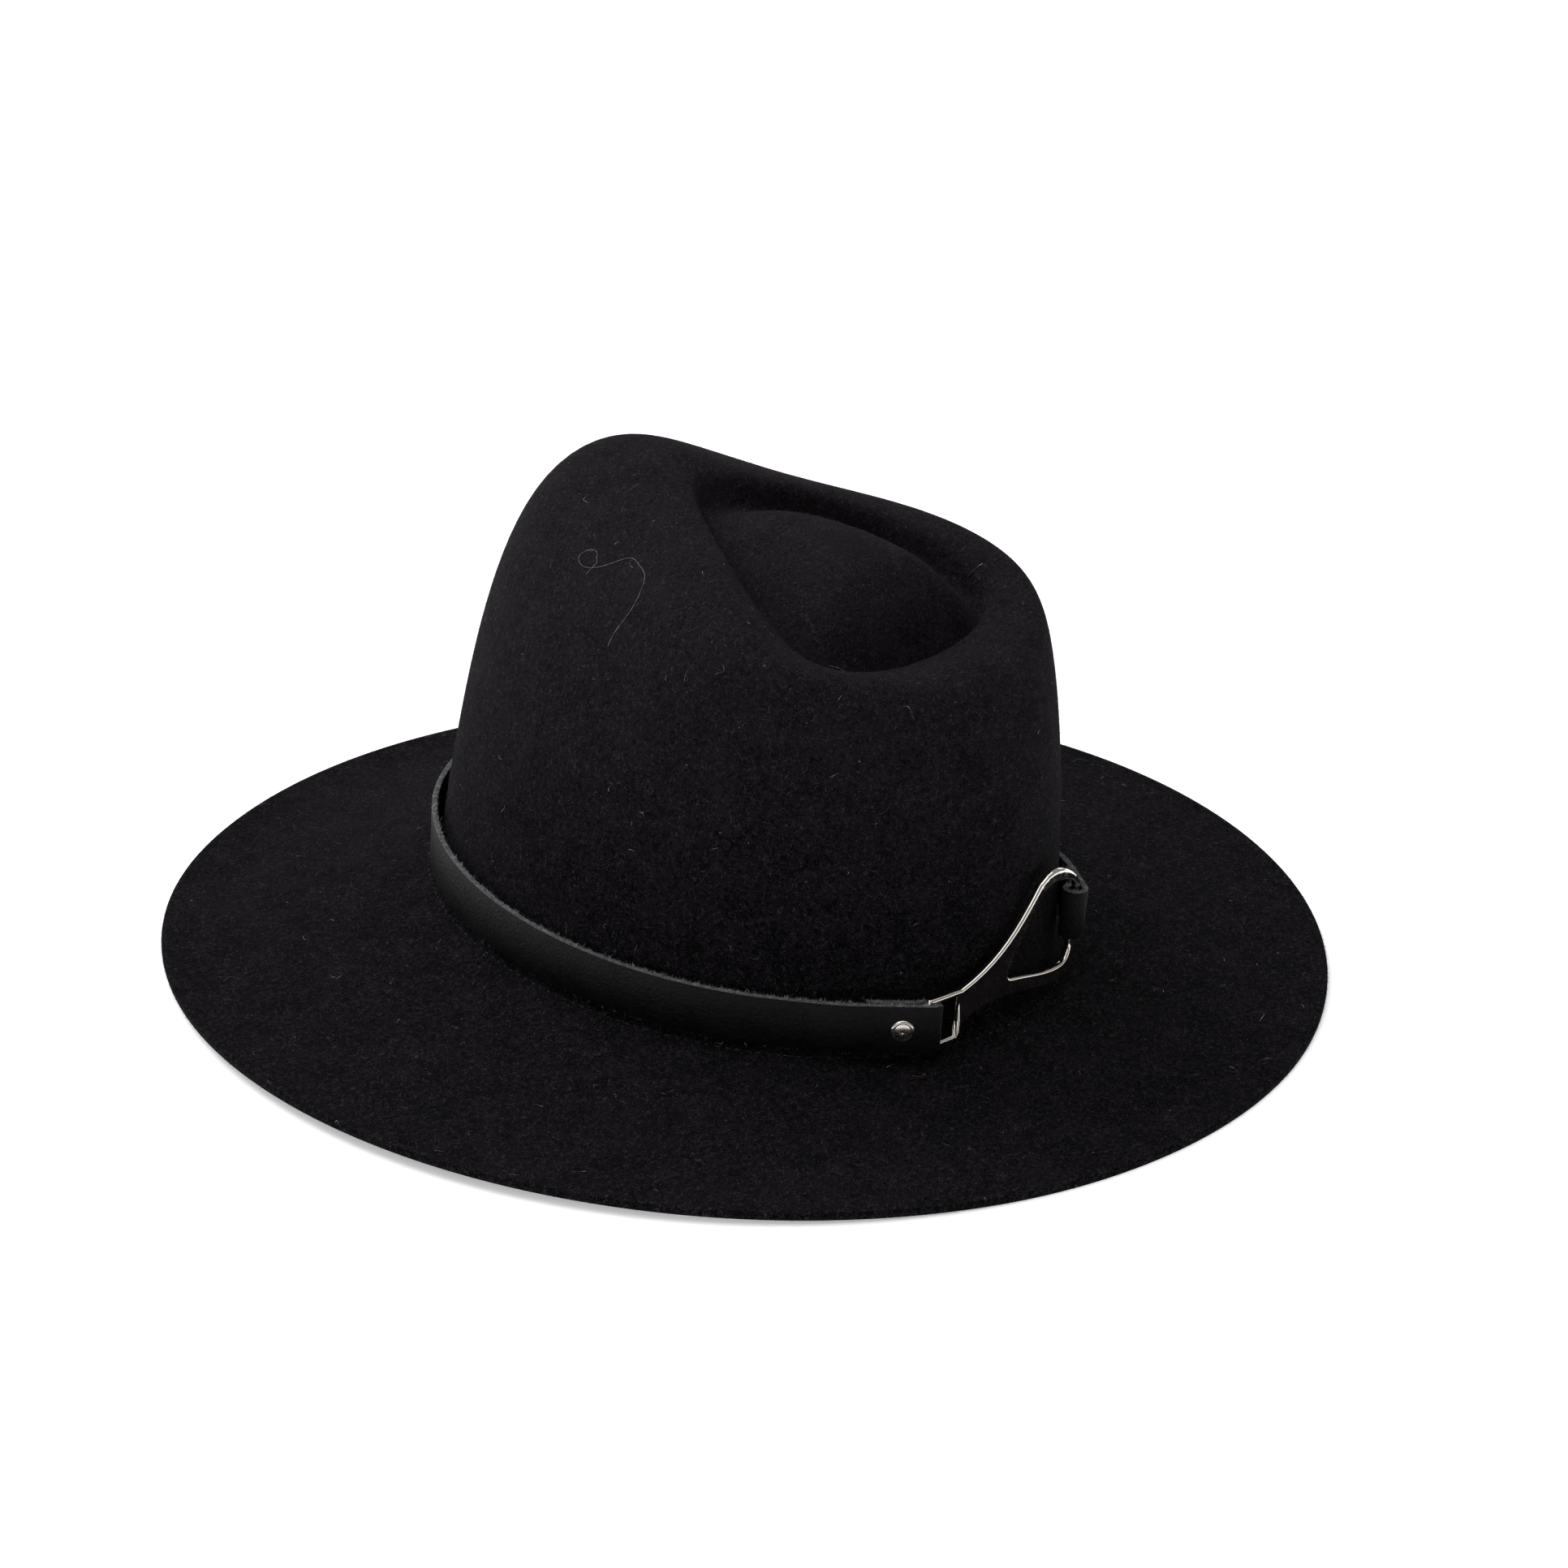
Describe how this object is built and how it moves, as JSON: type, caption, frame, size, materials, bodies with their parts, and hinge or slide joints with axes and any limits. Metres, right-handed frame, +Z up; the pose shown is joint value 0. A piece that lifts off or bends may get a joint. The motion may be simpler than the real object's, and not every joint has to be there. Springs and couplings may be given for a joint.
{
  "type": "wide-brim felt fedora hat",
  "caption": "Wide-brim black felt hat with a tall teardrop crown, raised island in its pinch, leather strap and polished open hook at the back.",
  "frame": {"origin": "on the surface the hat rests on, under the middle of the crown", "axes": "+Z up; the wearer looks along -Y; the wearer's left is +X"},
  "size_m": [0.355, 0.368, 0.1544],
  "materials": {
    "felt": "matt wool felt with a short nap",
    "leather": "smooth black grain, semi gloss",
    "nickel": "polished nickel plate"
  },
  "bodies": {
    "root": {"felt_body": "felt", "leather_strap": "leather", "hook_plate": "nickel", "rivet_left": "nickel", "rivet_right": "nickel"}
  },
  "joints": []
}
